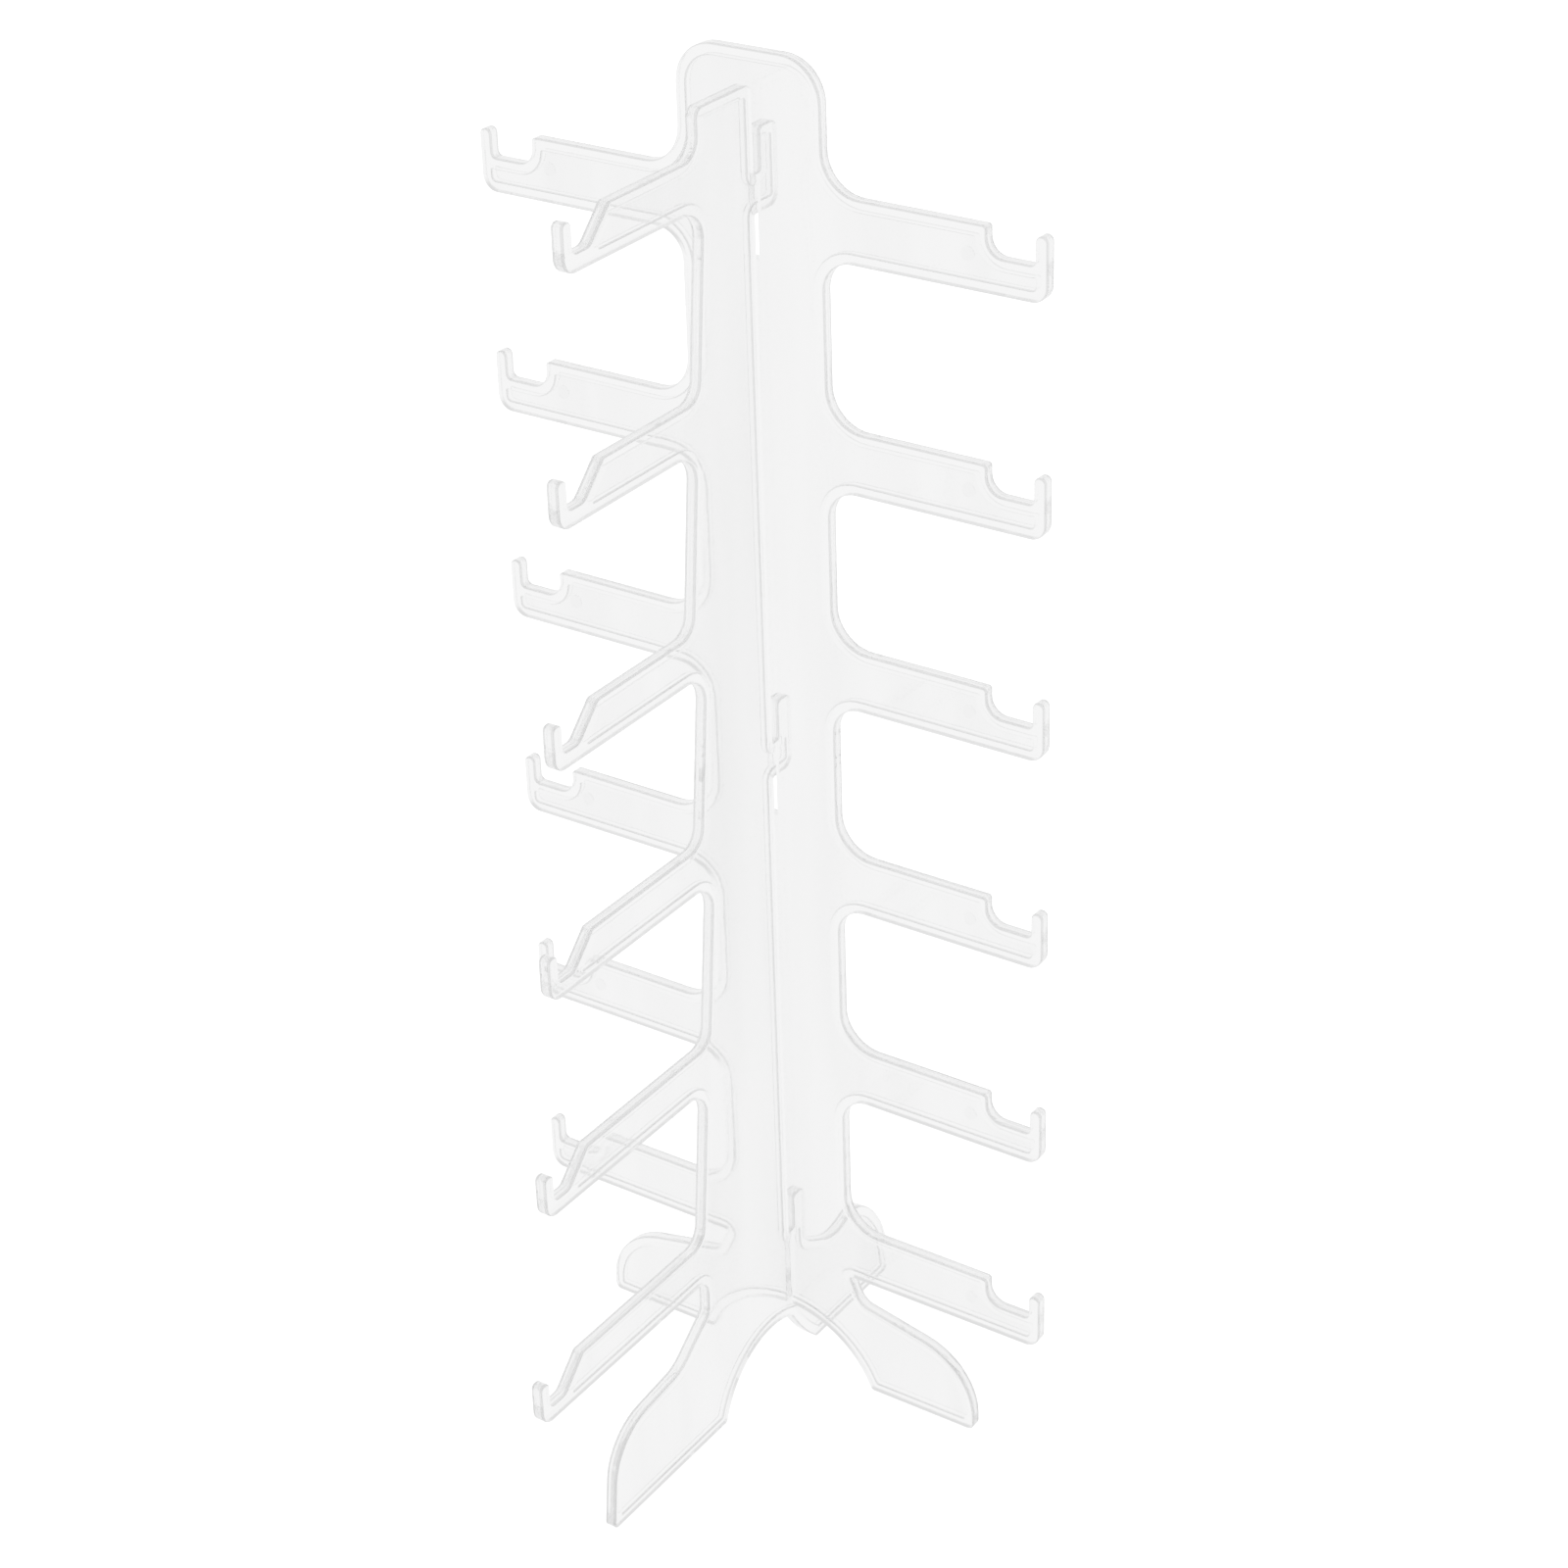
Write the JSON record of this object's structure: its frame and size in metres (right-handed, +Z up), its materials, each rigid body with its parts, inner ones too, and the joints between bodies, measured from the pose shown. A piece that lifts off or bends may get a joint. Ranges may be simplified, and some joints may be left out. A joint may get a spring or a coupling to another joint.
{
  "type": "eyeglass display rack",
  "caption": "Clear free-standing rack for eyeglasses: a flat panel with side arms, slotted at a right angle onto a front fin whose arms reach further towards the foot.",
  "frame": {"origin": "on the table, under the middle of the assembled rack's box", "axes": "+Z up along the spine, +X towards the panel's right-hand arms, -Y towards the tips of the front fin's arms"},
  "size_m": [0.1648, 0.1636, 0.3856],
  "materials": {
    "clear_plastic": "clear, polished, with faintly grey edges"
  },
  "bodies": {
    "fin": {"front_fin": "clear_plastic"},
    "panel": {"cross_panel": "clear_plastic"}
  },
  "joints": [
    {"name": "panel_lift", "type": "slide", "parent": "fin", "child": "panel", "axis": [0, 0, 1], "range_m": [0, 0.011]}
  ]
}
